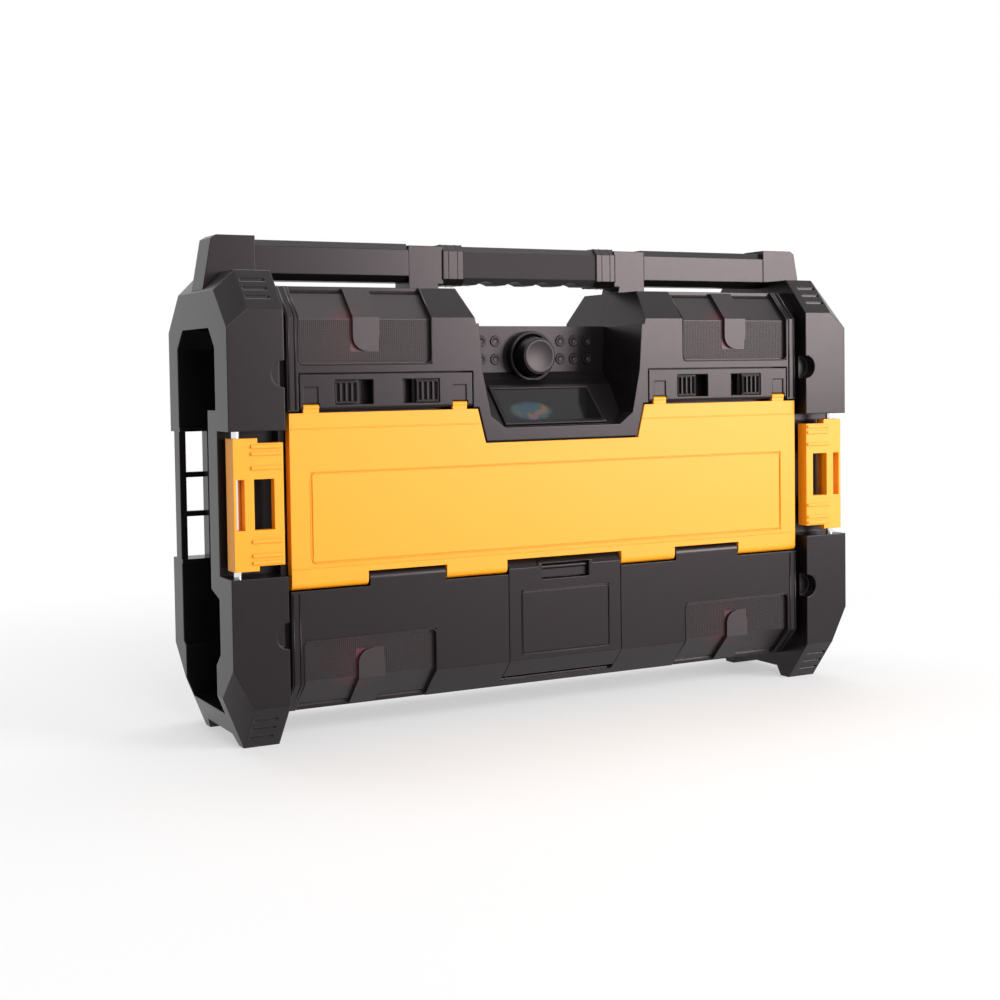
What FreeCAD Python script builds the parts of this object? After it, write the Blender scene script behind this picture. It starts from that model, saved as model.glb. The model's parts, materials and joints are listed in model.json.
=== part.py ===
import FreeCAD, Part
import Sketcher
import os

# Jobsite radio, in millimetres. X runs along the width, seen from the front, Y from the
# front to the back and Z up. The origin is on the ground, under the middle of the radio.

SIZES = {
    # Overall size
    "overall_width": 550.0,
    "overall_depth": 142.0,
    # Body shell: the front and rear faces lie back from the bumpers, with sloping shoulders
    "face_inset": 8.6,
    "slope_run": 21.4,
    "body_top": 333.0,
    "body_bottom": 22.0,
    "upper_crease": 310.0,
    "lower_crease": 45.0,
    "fascia_depth": 16.0,
    "shell_wall": 3.0,
    "split_depth": 75.0,
    # Saddle and control recess
    "saddle_top": 305.5,
    "saddle_flare": 8.0,
    "recess_floor": 225.8,
    "recess_depth": 68.2,
    # Storage door, hung on a knuckled hinge along its lower edge
    "door_low": 123.9,
    "door_top": 240.8,
    "door_plate": 4.0,
    "door_rim_depth": 8.4,
    "notch_low": 214.5,
    "door_gap": 1.2,
    "pocket_depth": 21.0,
    "hinge_height": 118.2,
    "knuckle_r": 5.0,
    "hinge_pin_r": 1.5,
    "running_fit": 0.05,
    "knuckle_gap": 0.6,
    # Storage compartment
    "tray_low": 136.5,
    "tray_top": 215.5,
    "tray_back": 80.0,
    "tray_wall": 2.5,
    "tray_flange": 4.5,
    "gasket_width": 3.0,
    # Latch bars on the top edge of the storage door, each with two sliders
    "bar_top": 268.5,
    "bar_thick": 4.0,
    "bar_hinge": 244.9,
    "bar_gap": 1.0,
    "bar_pin_r": 0.8,
    "lug_width": 12.0,
    "window_low": 246.3,
    "window_top": 264.4,
    "slide_gap": 0.35,
    # Speakers behind their grilles
    "speaker_r": 21.0,
    "speaker_depth": 20.0,
    "upper_speaker_z": 296.0,
    "lower_speaker_z": 58.0,
    "upper_window_z": 275.5,
    "lower_window_z": 76.5,
    "grille_thick": 2.5,
    "grille_lap": 1.4,
    "bump_half": 10.5,
    "bump_reach": 10.0,
    "baffle_depth": 25.0,
    # Battery door and bay
    "battery_top": 123.0,
    "battery_gap": 0.7,
    "battery_hinge_y": 23.5,
    "battery_hinge_z": 34.0,
    "battery_knuckle_r": 3.5,
    "battery_pin_r": 1.25,
    "catch_low": 106.5,
    "catch_top": 119.0,
    "bay_low": 38.0,
    "bay_back": 112.0,
    # Control panel, display and knob
    "panel_gap": 0.2,
    "panel_thick": 3.0,
    "panel_low": 268.3,
    "display_low_y": 19.0,
    "display_top_y": 50.0,
    "display_top_z": 257.5,
    "lens_thick": 1.2,
    "knob_z": 281.0,
    "knob_r": 14.3,
    "knob_skirt_r": 17.4,
    "knob_reach": 20.0,
    "knob_ring_r": 20.2,
    "knob_shaft_r": 3.0,
    "button_r": 4.2,
    "button_first": 30.2,
    "button_pitch": 12.75,
    "button_upper_z": 293.2,
    "button_lower_z": 278.6,
    "button_proud": 0.8,
    # Side frames
    "frame_top": 344.0,
    "frame_crease_top": 315.0,
    "frame_crease_low": 33.0,
    "frame_slant": 26.0,
    "frame_edge_top": 329.6,
    "frame_corner_top": 302.0,
    "frame_edge_low": 38.0,
    "frame_corner_low": 62.0,
    "latch_zone_low": 125.5,
    "latch_zone_top": 229.3,
    "latch_pocket": 26.0,
    "post_depth": 28.0,
    "rail_depth": 46.5,
    "foot_gap": 8.0,
    "notch_r": 9.5,
    # Side latches on upright rods
    "rod_y": 11.0,
    "rod_r": 3.0,
    "latch_front": 2.0,
    "latch_gap": 5.0,
    "latch_plate": 7.0,
    # Rear catch rails
    "rail_bar": 5.0,
    "rail_bar_depth": 13.0,
    # Carrying handle
    "handle_low": 339.0,
    "handle_top": 369.0,
    "handle_depth": 26.0,
    "handle_bevel": 5.0,
    "handle_core_r": 9.0,
    "cap_rise": 2.5,
    # Stiffening ribs across the rear face
    "rear_rib_rise": 52.0,
    "rear_rib_step": 36.0,
    # Rotary encoder behind the control panel
    "encoder_r": 8.0,
}

# Places and lengths across the width, each as a share of the overall width
SHARES = {
    # Body shell and its recess
    "fascia_half": 228 / 550,
    "body_half": 233 / 550,
    "saddle_half": 76 / 550,
    "recess_floor_half": 52 / 550,
    "recess_side_low": 64 / 550,
    "recess_side_mid": 71 / 550,
    "recess_side_top": 74 / 550,
    # Storage door, its knuckles and its tray
    "door_half": 227.2 / 550,
    "door_panel_half": 212 / 550,
    "notch_half_low": 69 / 550,
    "notch_half_top": 75.5 / 550,
    "knuckle_one": 51.9 / 550,
    "knuckle_two": 104 / 550,
    "knuckle_three": 167 / 550,
    "tray_half": 205.5 / 550,
    # Latch bars with their lugs, windows and sliders
    "bar_inner": 80 / 550,
    "bar_outer": 218.5 / 550,
    "lug_inner_lo": 84.5 / 550,
    "lug_outer_lo": 204 / 550,
    "window_inner_lo": 107.3 / 550,
    "window_outer_lo": 161.3 / 550,
    "window_length": 30.6 / 550,
    "pad_length": 18.4 / 550,
    # Speakers and grilles
    "speaker_x": 166 / 550,
    "grille_inner": 113.4 / 550,
    "grille_outer": 219 / 550,
    # Battery door and bay
    "battery_half": 50.5 / 550,
    "battery_panel_half": 40 / 550,
    "catch_half": 21.5 / 550,
    "bay_half": 46 / 550,
    # Control panel, its board and the display
    "display_half": 43 / 550,
    "board_half": 64 / 550,
    "board_support": 60 / 550,
    # Side frames, latches and rear rails
    "frame_bevel_x": 260 / 550,
    "rod_x": 266.5 / 550,
    "latch_outer": 271.5 / 550,
    "latch_inner": 234.5 / 550,
    "rail_inner": 248 / 550,
    # Handle
    "grip_half": 61 / 550,
    "collar_outer": 79 / 550,
    "post_outer": 108.5 / 550,
    "cap_top_x": 266.5 / 550,
    "cap_low_x": 273.5 / 550,
    # Rear face
    "rear_rib_half": 96 / 550,
    "inlet_x": 150 / 550,
}


class Size:
    """A length with its value now and the sheet expression that drives it."""

    def __init__(self, value, text):
        self.value = value
        self.text = text

    def __add__(self, other):
        other = as_size(other)
        return Size(self.value + other.value, f"({self.text} + {other.text})")

    def __sub__(self, other):
        other = as_size(other)
        return Size(self.value - other.value, f"({self.text} - {other.text})")

    def __mul__(self, other):
        other = as_size(other)
        return Size(self.value * other.value, f"({self.text} * {other.text})")

    def __truediv__(self, other):
        other = as_size(other)
        return Size(self.value / other.value, f"({self.text} / {other.text})")

    def __neg__(self):
        return Size(-self.value, f"(0 - {self.text})")

    def __radd__(self, other):
        return as_size(other) + self

    def __rsub__(self, other):
        return as_size(other) - self

    def __rmul__(self, other):
        return as_size(other) * self


def as_size(value):
    if isinstance(value, Size):
        return value
    return Size(float(value), f"{float(value):.6g}")


doc = FreeCAD.newDocument("jobsite_radio")
sheet = doc.addObject("Spreadsheet::Sheet", "Sizes")


class Named:
    """Every size of the sheet, by its own name."""


dim = Named()
entries = [(alias, str(number), number) for alias, number in SIZES.items()]
for alias, share in SHARES.items():
    entries.append((alias, f"=overall_width * {share!r}", SIZES["overall_width"] * share))
for row, (alias, entry, number) in enumerate(entries, start=1):
    sheet.set(f"A{row}", alias)
    sheet.set(f"B{row}", entry)
    sheet.setAlias(f"B{row}", alias)
    setattr(dim, alias, Size(number, f"Sizes.{alias}"))
doc.recompute()

PLANES = {"XY": "XY_Plane", "XZ": "XZ_Plane", "YZ": "YZ_Plane"}
sub_parts = []


def bind(item, path, value):
    item.setExpression(path, as_size(value).text)


def keep(item, label):
    """Mark an object as a sub-part, under the name of its file."""
    item.Label = label
    sub_parts.append(item)
    return item


def sketch_in(body, plane, points, offset):
    """A closed outline on one of the body's own origin planes."""
    sketch = body.newObject("Sketcher::SketchObject", "Outline")
    origin_plane = [p for p in body.Origin.OriginFeatures if p.Role == PLANES[plane]][0]
    sketch.AttachmentSupport = [(origin_plane, "")]
    sketch.MapMode = "FlatFace"
    bind(sketch, "AttachmentOffset.Base.z", offset)
    corners = [(as_size(a), as_size(b)) for a, b in points]
    count = len(corners)
    for index in range(count):
        here = corners[index]
        there = corners[(index + 1) % count]
        start = FreeCAD.Vector(here[0].value, here[1].value, 0)
        end = FreeCAD.Vector(there[0].value, there[1].value, 0)
        sketch.addGeometry(Part.LineSegment(start, end), False)
    for index in range(count):
        sketch.addConstraint(Sketcher.Constraint("Coincident", index, 2, (index + 1) % count, 1))
    for index, (a, b) in enumerate(corners):
        for kind, amount in (("DistanceX", a), ("DistanceY", b)):
            number = sketch.addConstraint(Sketcher.Constraint(kind, -1, 1, index, 1, amount.value))
            sketch.setExpression(f"Constraints[{number}]", amount.text)
    return sketch


def prism(plane, points, span):
    """A padded outline. The span is along the axis that is square to the plane."""
    low, high = as_size(span[0]), as_size(span[1])
    body = doc.addObject("PartDesign::Body", "Prism")
    offset = -high if plane == "XZ" else low
    sketch = sketch_in(body, plane, points, offset)
    pad = body.newObject("PartDesign::Pad", "Pad")
    pad.Profile = sketch
    bind(pad, "Length", high - low)
    body.Tip = pad
    return body


def loft(sections):
    """A straight loft through outlines across X."""
    body = doc.addObject("PartDesign::Body", "Loft")
    sketches = [sketch_in(body, "YZ", points, offset) for offset, points in sections]
    skin = body.newObject("PartDesign::AdditiveLoft", "Skin")
    skin.Profile = sketches[0]
    skin.Sections = sketches[1:]
    skin.Ruled = True
    body.Tip = skin
    return body


def box(x_span, y_span, z_span):
    item = doc.addObject("Part::Box", "Block")
    spans = [(as_size(low), as_size(high)) for low, high in (x_span, y_span, z_span)]
    for prop, axis, (low, high) in zip(("Length", "Width", "Height"), "xyz", spans):
        bind(item, prop, high - low)
        bind(item, f"Placement.Base.{axis}", low)
    return item


TURNS = {
    "X": FreeCAD.Rotation(FreeCAD.Vector(0, 1, 0), 90),
    "Y": FreeCAD.Rotation(FreeCAD.Vector(1, 0, 0), -90),
    "Z": FreeCAD.Rotation(),
}


def round_item(kind, axis, start, length):
    """A cylinder or cone that starts at a point and runs along an axis."""
    item = doc.addObject(kind, "Round")
    item.Placement = FreeCAD.Placement(FreeCAD.Vector(), TURNS[axis])
    bind(item, "Height", length)
    for letter, value in zip("xyz", start):
        bind(item, f"Placement.Base.{letter}", value)
    return item


def cylinder(axis, start, radius, length):
    item = round_item("Part::Cylinder", axis, start, length)
    bind(item, "Radius", radius)
    return item


def cone(axis, start, first_radius, second_radius, length):
    item = round_item("Part::Cone", axis, start, length)
    bind(item, "Radius1", first_radius)
    bind(item, "Radius2", second_radius)
    return item


def fuse(*items):
    joined = doc.addObject("Part::MultiFuse", "Joined")
    joined.Shapes = list(items)
    joined.Refine = True
    return joined


def group(*items):
    held = doc.addObject("Part::Compound", "Group")
    held.Links = list(items)
    return held


def cut(base, *tools):
    taken = doc.addObject("Part::Cut", "Cut")
    taken.Base = base
    taken.Tool = tools[0] if len(tools) == 1 else fuse(*tools)
    taken.Refine = True
    return taken


def common(first, second):
    shared = doc.addObject("Part::Common", "Shared")
    shared.Base = first
    shared.Tool = second
    return shared


def mirror(item):
    """The same piece on the other side of the radio's middle plane."""
    twin = doc.addObject("Part::Mirroring", "Twin")
    twin.Source = item
    twin.Normal = FreeCAD.Vector(1, 0, 0)
    return twin


def both_sides(half):
    """A closed outline that is the same on both sides, from its half with positive X."""
    return half + [(-a, b) for a, b in reversed([(as_size(a), b) for a, b in half])]


def keep_pair(right, name):
    keep(right, f"{name}_right")
    keep(mirror(right), f"{name}_left")


def between(first, second, share):
    return tuple(a + (b - a) * share for a, b in zip(first, second))


# Planes that many pieces share
half_width = dim.overall_width / 2
front = -dim.overall_depth / 2
rear = dim.overall_depth / 2
face = front + dim.face_inset
back = rear - dim.face_inset
slope_front = face + dim.slope_run
slope_back = back - dim.slope_run
split = front + dim.split_depth
wide_start = front + dim.fascia_depth
wall = dim.shell_wall
BEND = 0.45
PAST = 5.0
upper_rise = (dim.body_top - dim.upper_crease) / dim.slope_run
lower_rise = (dim.lower_crease - dim.body_bottom) / dim.slope_run
through_y = (front - PAST, rear + PAST)


def depth(value):
    """A place measured back from the front of the bumpers."""
    return front + value


def saddle_outline(grow):
    flare = dim.saddle_half + dim.saddle_flare
    return both_sides([
        (dim.saddle_half + grow, dim.saddle_top - grow),
        (flare + grow, dim.body_top + PAST),
    ])


def recess_outline(grow):
    return both_sides([
        (dim.recess_floor_half + grow * BEND, dim.recess_floor - grow),
        (dim.recess_side_low + grow, dim.recess_floor + 9 - grow * BEND),
        (dim.recess_side_mid + grow, dim.recess_floor + 43),
        (dim.recess_side_top + grow, dim.upper_crease + 2),
        (dim.saddle_half + dim.saddle_flare + grow, dim.body_top + PAST),
    ])


def door_outline(grow, bottom):
    """The storage door's front outline, with the notch for the control recess."""
    return both_sides([
        (dim.door_half + grow, bottom),
        (dim.door_half + grow, dim.door_top + grow),
        (dim.notch_half_top - grow, dim.door_top + grow),
        (dim.notch_half_low - grow, dim.notch_low + grow),
    ])


# Front housing
def front_profile(inset):
    bend = inset * BEND
    return [
        (face + inset, dim.lower_crease + bend),
        (face + inset, dim.upper_crease - bend),
        (slope_front + bend, dim.body_top - inset),
        (split + (PAST if inset is wall else 0), dim.body_top - inset),
        (split + (PAST if inset is wall else 0), dim.body_bottom + inset),
        (slope_front + bend, dim.body_bottom + inset),
    ]


fascia_span = (-dim.fascia_half, dim.fascia_half)
no_inset = as_size(0)
narrow = prism("YZ", front_profile(no_inset), fascia_span)
wide_profile = [
    (wide_start, dim.lower_crease - (wide_start - face) * lower_rise),
    (wide_start, dim.upper_crease + (wide_start - face) * upper_rise),
] + front_profile(no_inset)[2:]
wide = prism("YZ", wide_profile, (-dim.body_half, dim.body_half))
inner_half = dim.fascia_half - wall
inner = prism("YZ", front_profile(wall), (-inner_half, inner_half))
recess_y = (front - PAST, depth(dim.recess_depth))
pocket_y = (front - PAST, depth(dim.pocket_depth))
lining_y = (front - PAST, depth(dim.pocket_depth + wall))
pocket_bottom = dim.hinge_height - dim.knuckle_r - dim.knuckle_gap
bar_pocket_x = (dim.bar_inner - dim.bar_gap, dim.bar_outer + dim.bar_gap)
bar_pocket_top = dim.bar_top + dim.bar_gap


def bar_pocket(grow):
    item = box(
        (bar_pocket_x[0] - grow, bar_pocket_x[1] + grow),
        (front - PAST, depth(dim.pocket_depth - 2 + grow)),
        (dim.door_top - grow, bar_pocket_top + grow),
    )
    return item


right_lining = bar_pocket(wall)
cavity = cut(
    inner,
    prism("XZ", recess_outline(wall), recess_y),
    prism("XZ", saddle_outline(wall), through_y),
    prism("XZ", door_outline(dim.door_gap + wall, pocket_bottom - wall), lining_y),
    right_lining,
    mirror(right_lining),
)


def speaker_windows():
    """The right-hand upper and lower openings that the grilles show through."""
    face_line = face + wall
    top_end = slope_front + 1.5
    upper = [
        (front - PAST, dim.upper_window_z),
        (face_line + 0.4, dim.upper_window_z),
        (face_line + 0.4, dim.upper_crease - 1.2),
        (top_end, dim.body_top - wall + 0.2),
        (top_end, dim.body_top + PAST),
        (front - PAST, dim.body_top + PAST),
    ]
    lower = [
        (front - PAST, dim.lower_window_z),
        (face_line + 0.4, dim.lower_window_z),
        (face_line + 0.4, dim.lower_crease + 1.2),
        (top_end, dim.body_bottom + wall - 0.2),
        (top_end, dim.body_bottom - PAST),
        (front - PAST, dim.body_bottom - PAST),
    ]
    span = (dim.grille_inner, dim.grille_outer)
    return prism("YZ", upper, span), prism("YZ", lower, span)


upper_window, lower_window = speaker_windows()
right_pocket = bar_pocket(as_size(0))
battery_x = dim.battery_half + dim.battery_gap
battery_clear = dim.battery_hinge_y + dim.battery_knuckle_r + 1
battery_opening = box(
    (-battery_x, battery_x),
    (front - PAST, depth(battery_clear)),
    (dim.battery_hinge_z - dim.battery_knuckle_r - dim.knuckle_r * 0.7, dim.door_low),
)
storage_opening = box(
    (-dim.tray_half - 0.5, dim.tray_half + 0.5),
    (front, depth(dim.pocket_depth + wall + 1)),
    (dim.tray_low - 0.5, dim.tray_top + 0.5),
)
shell = cut(
    fuse(narrow, wide),
    cavity,
    prism("XZ", recess_outline(as_size(0)), recess_y),
    prism("XZ", saddle_outline(as_size(0)), through_y),
    prism("XZ", door_outline(dim.door_gap, pocket_bottom), pocket_y),
    right_pocket,
    mirror(right_pocket),
    upper_window,
    mirror(upper_window),
    lower_window,
    mirror(lower_window),
    battery_opening,
    storage_opening,
)

hinge_y = face + dim.knuckle_r
fixed_spans = [(dim.knuckle_two + dim.knuckle_gap, dim.knuckle_three - dim.knuckle_gap)]
moving_spans = [
    (dim.knuckle_one, dim.knuckle_two - dim.knuckle_gap),
    (dim.knuckle_three + dim.knuckle_gap, dim.door_half),
]


def knuckle(span, foot):
    """One knuckle of the storage door's hinge, with the web that carries it."""
    length = span[1] - span[0]
    barrel = cylinder("X", (span[0], hinge_y, dim.hinge_height), dim.knuckle_r, length)
    web = box(span, foot[0], foot[1])
    return fuse(barrel, web)


fixed_foot = (
    (face, depth(dim.pocket_depth + 1)),
    (pocket_bottom - 1, dim.hinge_height),
)
fixed_knuckle = knuckle(fixed_spans[0], fixed_foot)


def baffle(low, high, centre, inner_x):
    plate = box(
        (inner_x, dim.fascia_half - wall / 2),
        (depth(dim.baffle_depth), depth(dim.baffle_depth + wall)),
        (low, high),
    )
    hole_start = (dim.speaker_x, depth(dim.baffle_depth - 1), centre)
    hole = cylinder("Y", hole_start, dim.speaker_r - 3, wall + 2)
    return cut(plate, hole)


upper_baffle = baffle(
    dim.upper_speaker_z - dim.speaker_r - 4,
    dim.upper_speaker_z + dim.speaker_r + 1,
    dim.upper_speaker_z,
    dim.recess_side_top + wall + 3,
)
lower_baffle = baffle(
    dim.lower_speaker_z - dim.speaker_r - 1,
    pocket_bottom,
    dim.lower_speaker_z,
    dim.battery_half + 8,
)
boss_start = (battery_x, depth(dim.battery_hinge_y), dim.battery_hinge_z)
battery_boss = cylinder("X", boss_start, dim.battery_knuckle_r, 5)
hinge_pin_start = (dim.knuckle_one, hinge_y, dim.hinge_height)
hinge_pin_length = dim.door_half - dim.knuckle_one - 1
pin_hole = cylinder("X", hinge_pin_start, dim.hinge_pin_r, hinge_pin_length)
battery_pin_start = (-battery_x - 4, depth(dim.battery_hinge_y), dim.battery_hinge_z)
battery_pin_length = (battery_x + 4) * 2
battery_pin_hole = cylinder("X", battery_pin_start, dim.battery_pin_r, battery_pin_length)
front_solid = fuse(
    shell,
    fixed_knuckle,
    mirror(fixed_knuckle),
    upper_baffle,
    mirror(upper_baffle),
    lower_baffle,
    mirror(lower_baffle),
    battery_boss,
    mirror(battery_boss),
)
keep(cut(front_solid, pin_hole, mirror(pin_hole), battery_pin_hole), "front_housing")


# Rear housing
def rear_profile(inset):
    bend = inset * BEND
    start = split - (PAST if inset is wall else 0)
    return [
        (start, dim.body_bottom + inset),
        (start, dim.body_top - inset),
        (slope_back - bend, dim.body_top - inset),
        (back - inset, dim.upper_crease - bend),
        (back - inset, dim.lower_crease + bend),
        (slope_back - bend, dim.body_bottom + inset),
    ]


rear_inner_half = dim.body_half - wall
rear_cavity = cut(
    prism("YZ", rear_profile(wall), (-rear_inner_half, rear_inner_half)),
    prism("XZ", saddle_outline(wall), through_y),
)
SCREW_SPOTS = [(0.92, 0.86), (0.92, 0.14), (0.45, 0.14), (0.45, 0.74)]
SCREW_SHAFT = 1.5
SCREW_HEAD = 3.5
SCREW_REACH = 14.0


def screw_points():
    rise = dim.upper_crease - dim.lower_crease
    for share_x, share_z in SCREW_SPOTS:
        for side in (1, -1):
            yield dim.body_half * (share_x * side), dim.lower_crease + rise * share_z


screw_holes = [
    cylinder("Y", (x, back - wall - 1, z), SCREW_SHAFT, wall + 2) for x, z in screw_points()
]
INLET_Z = 96.0
INLET_HALF = 14.0
INLET_RISE = 9.0
inlet_hole = box(
    (dim.inlet_x - INLET_HALF, dim.inlet_x + INLET_HALF),
    (back - wall - 1, back + 1),
    (INLET_Z - INLET_RISE, INLET_Z + INLET_RISE),
)
rear_shell = cut(
    prism("YZ", rear_profile(no_inset), (-dim.body_half, dim.body_half)),
    rear_cavity,
    prism("XZ", saddle_outline(as_size(0)), through_y),
    inlet_hole,
    *screw_holes,
)
RIB_COUNT = 5
ribs = []
for index in range(RIB_COUNT):
    rib_z = dim.lower_crease + dim.rear_rib_rise + dim.rear_rib_step * index
    ribs.append(box((-dim.rear_rib_half, dim.rear_rib_half), (back - 1, back + 2),
                    (rib_z, rib_z + 4)))
keep(fuse(rear_shell, *ribs), "rear_housing")

screws = []
for x, z in screw_points():
    shaft = cylinder("Y", (x, back - SCREW_REACH, z), SCREW_SHAFT, SCREW_REACH + 1)
    head = cone("Y", (x, back, z), SCREW_HEAD, SCREW_HEAD - 0.8, 1.8)
    socket = box((x - 1.2, x + 1.2), (back + 0.9, back + 2), (z - 1.2, z + 1.2))
    screws.append(cut(fuse(shaft, head), socket))
keep(group(*screws), "housing_screws")

inlet_body = box(
    (dim.inlet_x - INLET_HALF, dim.inlet_x + INLET_HALF),
    (back - 18, back + 0.5),
    (INLET_Z - INLET_RISE, INLET_Z + INLET_RISE),
)
inlet_flange = box(
    (dim.inlet_x - INLET_HALF - 3, dim.inlet_x + INLET_HALF + 3),
    (back - wall - 2, back - wall),
    (INLET_Z - INLET_RISE - 3, INLET_Z + INLET_RISE + 3),
)
SOCKET_R = 4.2
SOCKET_OFFSET = 4.4
sockets = [
    cylinder("Y", (dim.inlet_x + side, back - 12, INLET_Z), SOCKET_R, 14)
    for side in (-SOCKET_OFFSET, SOCKET_OFFSET)
]
contacts = [
    cylinder("Y", (dim.inlet_x + side, back - 13, INLET_Z), 1.2, 10)
    for side in (-SOCKET_OFFSET, SOCKET_OFFSET)
]
inlet_shell = cut(fuse(inlet_body, inlet_flange), *sockets)
keep(fuse(inlet_shell, *contacts), "power_inlet")


# Side frames
def frame_section(corner_top, edge_top, corner_low, edge_low, shift):
    slant = dim.frame_slant + shift
    return [
        (front, corner_top),
        (front + slant, edge_top),
        (rear - slant, edge_top),
        (rear, corner_top),
        (rear, corner_low),
        (rear - dim.frame_slant, edge_low),
        (front + dim.frame_slant, edge_low),
        (front, corner_low),
    ]


inner_section = frame_section(
    dim.frame_crease_top, dim.frame_top, dim.frame_crease_low, as_size(0), as_size(0)
)
outer_section = frame_section(
    dim.frame_corner_top, dim.frame_edge_top, dim.frame_corner_low, dim.frame_edge_low, as_size(2)
)
frame_block = loft([
    (dim.body_half, inner_section),
    (dim.frame_bevel_x, inner_section),
    (half_width, outer_section),
])
past_frame = (dim.body_half - PAST, half_width + PAST)
grip_back = rear - dim.post_depth + 5.5
frame_window = prism("YZ", [
    (depth(41), dim.frame_corner_top + 1),
    (depth(105), dim.frame_corner_top + 1),
    (grip_back, dim.frame_corner_top - 13),
    (grip_back, dim.frame_corner_low + 4),
    (depth(114), dim.frame_corner_low + 1),
    (depth(114), 24),
    (depth(38), 24),
    (depth(38), dim.frame_corner_low - 2),
    (depth(dim.post_depth), dim.frame_corner_low + 7),
    (depth(dim.post_depth), dim.latch_zone_low - 16.5),
    (depth(dim.rail_depth), dim.latch_zone_low - 11),
    (depth(dim.rail_depth), dim.latch_zone_top + 14.5),
    (depth(dim.post_depth), dim.latch_zone_top + 14.5),
    (depth(dim.post_depth), dim.frame_corner_top - 13),
], past_frame)
latch_pocket = box(
    past_frame,
    (front - PAST, depth(dim.latch_pocket)),
    (dim.latch_zone_low, dim.latch_zone_top),
)
rear_gap = box(
    past_frame,
    (rear - dim.post_depth, rear + PAST),
    (dim.latch_zone_low, dim.latch_zone_top),
)
foot_arch = prism("YZ", [
    (depth(36), -1),
    (depth(42), dim.foot_gap),
    (rear - 42, dim.foot_gap),
    (rear - 36, -1),
], past_frame)
notches = [
    cylinder("Y", (dim.body_half, front - 1, z), dim.notch_r, 11)
    for z in (dim.latch_zone_top + 40, dim.latch_zone_low - 42.5)
]
GROOVE_SHARES = (0.3, 0.52, 0.74)
GROOVE_SINK = 1.6


def grooves():
    """Three short grooves across each sloping bumper face, front and back."""
    lines = [
        ((front, dim.frame_crease_top), (front + dim.frame_slant, dim.frame_top)),
        ((front, dim.frame_crease_low), (front + dim.frame_slant, as_size(0))),
    ]
    for start, end in lines:
        for share in GROOVE_SHARES:
            y, z = between(start, end, share)
            for centre in (y, -y):
                yield box(
                    (dim.body_half + 7, dim.frame_bevel_x - 2),
                    (centre - GROOVE_SINK, centre + GROOVE_SINK),
                    (z - GROOVE_SINK * 0.7, z + GROOVE_SINK * 0.7),
                )


rod_start = dim.latch_zone_low - PAST
rod_length = dim.latch_zone_top - dim.latch_zone_low + 2 * PAST
rod_place = (dim.rod_x, depth(dim.rod_y), rod_start)
rod_hole = cylinder("Z", rod_place, dim.rod_r, rod_length)
frame = cut(frame_block, frame_window, latch_pocket, rear_gap, foot_arch, rod_hole,
            *notches, *grooves())
keep_pair(frame, "side_frame")
rod = cylinder("Z", rod_place, dim.rod_r, rod_length)
keep(group(rod, mirror(rod)), "side_latch_rods")

rail_y = (rear - dim.post_depth + 6, rear - dim.post_depth + 6 + dim.rail_bar_depth)
zone = (dim.latch_zone_low, dim.latch_zone_top)
rail_pieces = [
    box((half_width - dim.rail_bar, half_width), rail_y, zone),
    box((dim.rail_inner, dim.rail_inner + dim.rail_bar), rail_y, zone),
]
for low in (dim.latch_zone_low, dim.latch_zone_top - 3):
    plate_y = (rear - dim.post_depth + 4, rear)
    rail_pieces.append(box((dim.rail_inner - 4, half_width), plate_y, (low, low + 3)))
for share in (0.36, 0.65):
    rung_z = dim.latch_zone_low + (dim.latch_zone_top - dim.latch_zone_low) * share
    rung_y = (rail_y[0] + 4, rail_y[1] - 4)
    rung_x = (dim.rail_inner + 2, half_width - 2)
    rail_pieces.append(box(rung_x, rung_y, (rung_z - 2, rung_z + 2)))
keep_pair(fuse(*rail_pieces), "catch_rail")

# Side latches
latch_low = dim.latch_zone_low + dim.latch_gap
latch_top = dim.latch_zone_top - dim.latch_gap
LATCH_STEP = 3.5
latch_y = (depth(dim.latch_front), depth(dim.latch_front + dim.latch_plate))
barrel_back = depth(dim.rod_y + dim.rod_r + 4)
latch_plate = box((dim.latch_inner, dim.latch_outer), latch_y,
                  (latch_low + LATCH_STEP, latch_top - LATCH_STEP))
latch_barrel = box((dim.rod_x - 7, dim.latch_outer), (latch_y[0], barrel_back),
                   (latch_low, latch_top))
latch_ear = box((dim.rod_x - 13, dim.latch_outer), latch_y, (latch_low, latch_top))
latch_lip = box((dim.latch_inner, dim.latch_inner + 4), (latch_y[0], latch_y[1] + 4),
                (latch_low + LATCH_STEP, latch_top - LATCH_STEP))
middle = (latch_low + latch_top) / 2
WINDOW_RISE = 18.0
latch_window = box((dim.latch_inner + 7, dim.latch_inner + 22),
                   (latch_y[0] - 1, latch_y[1] + 1),
                   (middle - WINDOW_RISE, middle + WINDOW_RISE))
latch_slot = box((dim.rod_x - 3, dim.rod_x + 3), (latch_y[0] - 1, depth(dim.rod_y)),
                 (middle - WINDOW_RISE, middle + WINDOW_RISE))
latch_bore = cylinder("Z", rod_place, dim.rod_r + dim.running_fit, rod_length)
RIDGES = (-41, -36, -26, 26, 36, 41)
latch_ridges = [
    box((dim.latch_inner + 1, dim.rod_x - 8), (latch_y[0] - 1.2, latch_y[0] + 1),
        (middle + offset - 1.2, middle + offset + 1.2))
    for offset in RIDGES
]
latch = cut(
    fuse(latch_plate, latch_barrel, latch_ear, latch_lip, *latch_ridges),
    latch_window, latch_slot, latch_bore,
)
keep_pair(latch, "side_latch")


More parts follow.
